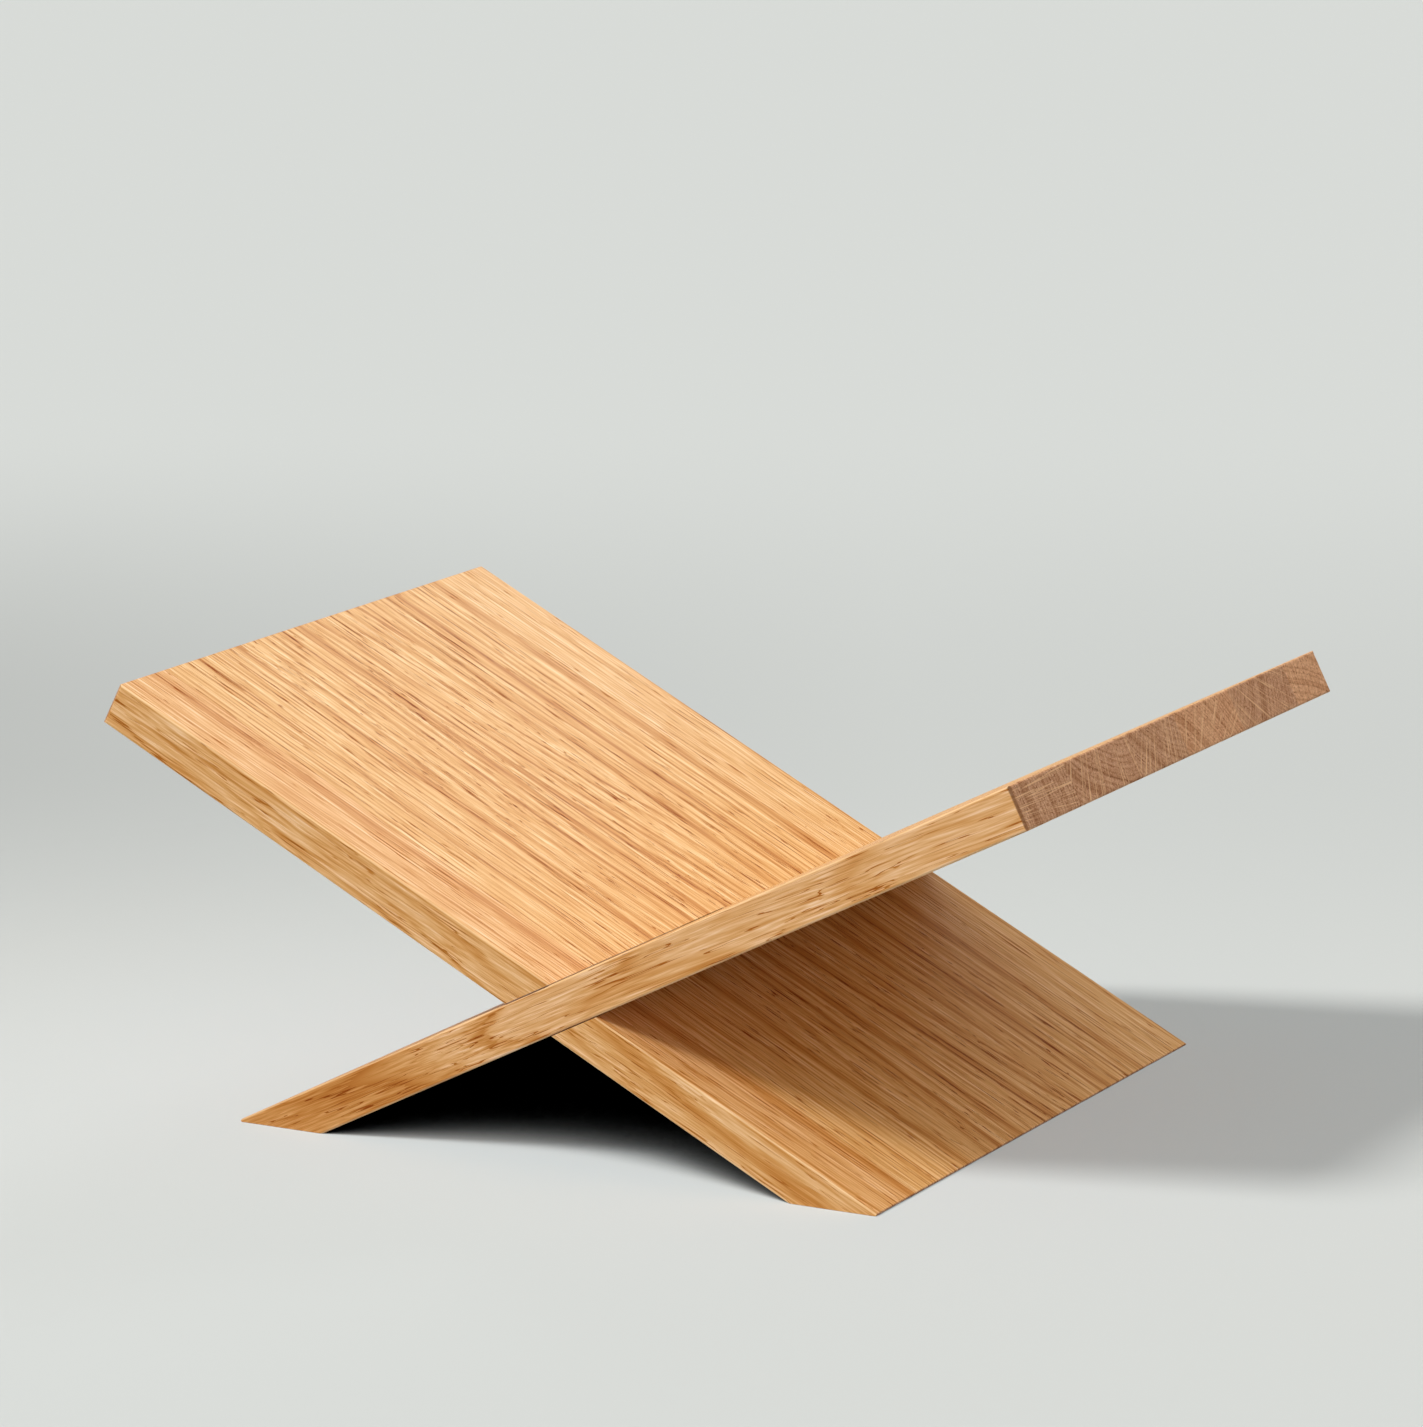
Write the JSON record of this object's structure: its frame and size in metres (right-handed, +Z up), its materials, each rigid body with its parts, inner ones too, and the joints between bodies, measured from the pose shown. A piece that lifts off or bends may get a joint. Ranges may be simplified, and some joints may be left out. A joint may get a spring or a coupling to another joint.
{
  "type": "bookstand",
  "caption": "Low X-shaped bookstand of crossed solid-wood panels that slot into each other and cradle an open book above the crossing.",
  "frame": {"origin": "on the floor under the crossing, in the middle of the stand's depth", "axes": "+X across the V towards the right panel's upper end, +Y from the front edge to the back edge, +Z up"},
  "size_m": [0.4268, 0.3, 0.1808],
  "materials": {
    "oak_straw": "oiled satin",
    "oak_tan": "oiled satin",
    "oak_pale": "oiled satin"
  },
  "bodies": {
    "left_panel": {"left_long_edge_stave": "oak_straw", "left_long_middle_stave": "oak_tan", "left_notched_stave": "oak_pale", "left_upper_inner_stave": "oak_tan", "left_upper_middle_stave": "oak_straw", "left_upper_edge_stave": "oak_tan", "left_lower_inner_stave": "oak_tan", "left_lower_middle_stave": "oak_straw", "left_lower_edge_stave": "oak_tan"},
    "right_panel": {"right_long_edge_stave": "oak_straw", "right_long_middle_stave": "oak_tan", "right_notched_stave": "oak_pale", "right_upper_inner_stave": "oak_tan", "right_upper_middle_stave": "oak_straw", "right_upper_edge_stave": "oak_tan", "right_lower_inner_stave": "oak_tan", "right_lower_middle_stave": "oak_straw", "right_lower_edge_stave": "oak_tan"}
  },
  "joints": [
    {"name": "panel_slide", "type": "slide", "parent": "left_panel", "child": "right_panel", "axis": [0, -1, 0], "range_m": [0, 0.15]}
  ]
}
